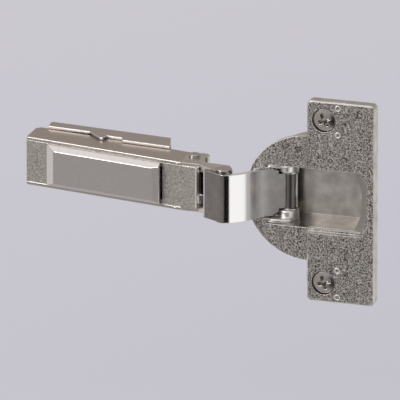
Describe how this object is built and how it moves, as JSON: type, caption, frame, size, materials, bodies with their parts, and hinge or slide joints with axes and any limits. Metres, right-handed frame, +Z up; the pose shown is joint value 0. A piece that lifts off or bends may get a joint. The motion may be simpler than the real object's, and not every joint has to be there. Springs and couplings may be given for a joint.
{
  "type": "concealed cup hinge",
  "caption": "Concealed cabinet hinge shown open: a flanged cup for the door, two bent links, a channel arm with cover and an adjustable mounting plate.",
  "frame": {"origin": "midpoint between the mounting plate's two screw holes, on the plate's back face, which lies on the cabinet's side", "axes": "+X along the cabinet's side towards the door, -Y off the cabinet's side into the room, +Z up along the door's edge"},
  "size_m": [0.1157, 0.0261, 0.064],
  "materials": {
    "plate_steel": "nickel-plated pressed steel, satin",
    "channel_steel": "nickel-plated pressed steel, satin",
    "cast_zinc": "nickel-plated zinc die casting, finely grained",
    "cover_steel": "nickel-plated steel, smooth",
    "link_steel": "nickel-plated steel strip, bright",
    "screw_steel": "nickel-plated steel",
    "axle_steel": "bright drawn steel",
    "spring_steel": "tempered spring steel"
  },
  "bodies": {
    "plate": {"mounting_plate": "plate_steel"},
    "clamp_screw": {"clamp_screw": "screw_steel", "clamp_washer": "screw_steel"},
    "slide_shoe": {"slide_shoe": "plate_steel"},
    "overlay_screw": {"overlay_screw": "screw_steel"},
    "arm": {"arm_channel": "channel_steel", "arm_body": "cast_zinc", "arm_cover": "cover_steel", "tilt_axle": "axle_steel", "outer_arm_axle": "axle_steel", "inner_arm_axle": "axle_steel", "closing_spring": "spring_steel", "spring_rivet": "axle_steel"},
    "outer_link": {"outer_link": "link_steel"},
    "cup": {"cup": "cast_zinc", "outer_cup_axle": "axle_steel", "inner_cup_axle": "axle_steel", "upper_cup_screw": "screw_steel", "lower_cup_screw": "screw_steel"},
    "inner_link": {"inner_link": "link_steel"}
  },
  "joints": [
    {"name": "depth_slide", "type": "slide", "parent": "plate", "child": "slide_shoe", "axis": [1, 0, 0], "range_m": [-0.0025, 0.0025]},
    {"name": "clamp_screw_turn", "type": "hinge", "parent": "plate", "child": "clamp_screw", "pos_m": [0, 0, 0], "axis": [0, 1, 0], "range_deg": [0, 720]},
    {"name": "overlay_tilt", "type": "hinge", "parent": "slide_shoe", "child": "arm", "pos_m": [-0.01729, -0.00694, 0], "axis": [0, 0, -1], "range_deg": [-2, 2]},
    {"name": "overlay_screw_turn", "type": "hinge", "parent": "slide_shoe", "child": "overlay_screw", "pos_m": [0.0155, -0.003, 0], "axis": [0, 1, 0], "range_deg": [-520, 520]},
    {"name": "outer_link_swing", "type": "hinge", "parent": "arm", "child": "outer_link", "pos_m": [0.0461, -0.02, 0], "axis": [0, 0, -1], "range_deg": [-18.5, 0.5]},
    {"name": "cup_swing", "type": "hinge", "parent": "outer_link", "child": "cup", "pos_m": [0.06272, -0.00699, 0], "axis": [0, 0, -1], "range_deg": [0, 113.7]},
    {"name": "inner_link_swing", "type": "hinge", "parent": "cup", "child": "inner_link", "pos_m": [0.05846, -0.00862, 0], "axis": [0, 0, -1], "range_deg": [-120.5, 0.5]}
  ],
  "couplings": [
    {"joint": "outer_link_swing", "follows": "cup_swing", "ratio": -0.15831},
    {"joint": "inner_link_swing", "follows": "cup_swing", "ratio": -1.0527},
    {"joint": "overlay_screw_turn", "follows": "overlay_tilt", "ratio": 257.51}
  ]
}
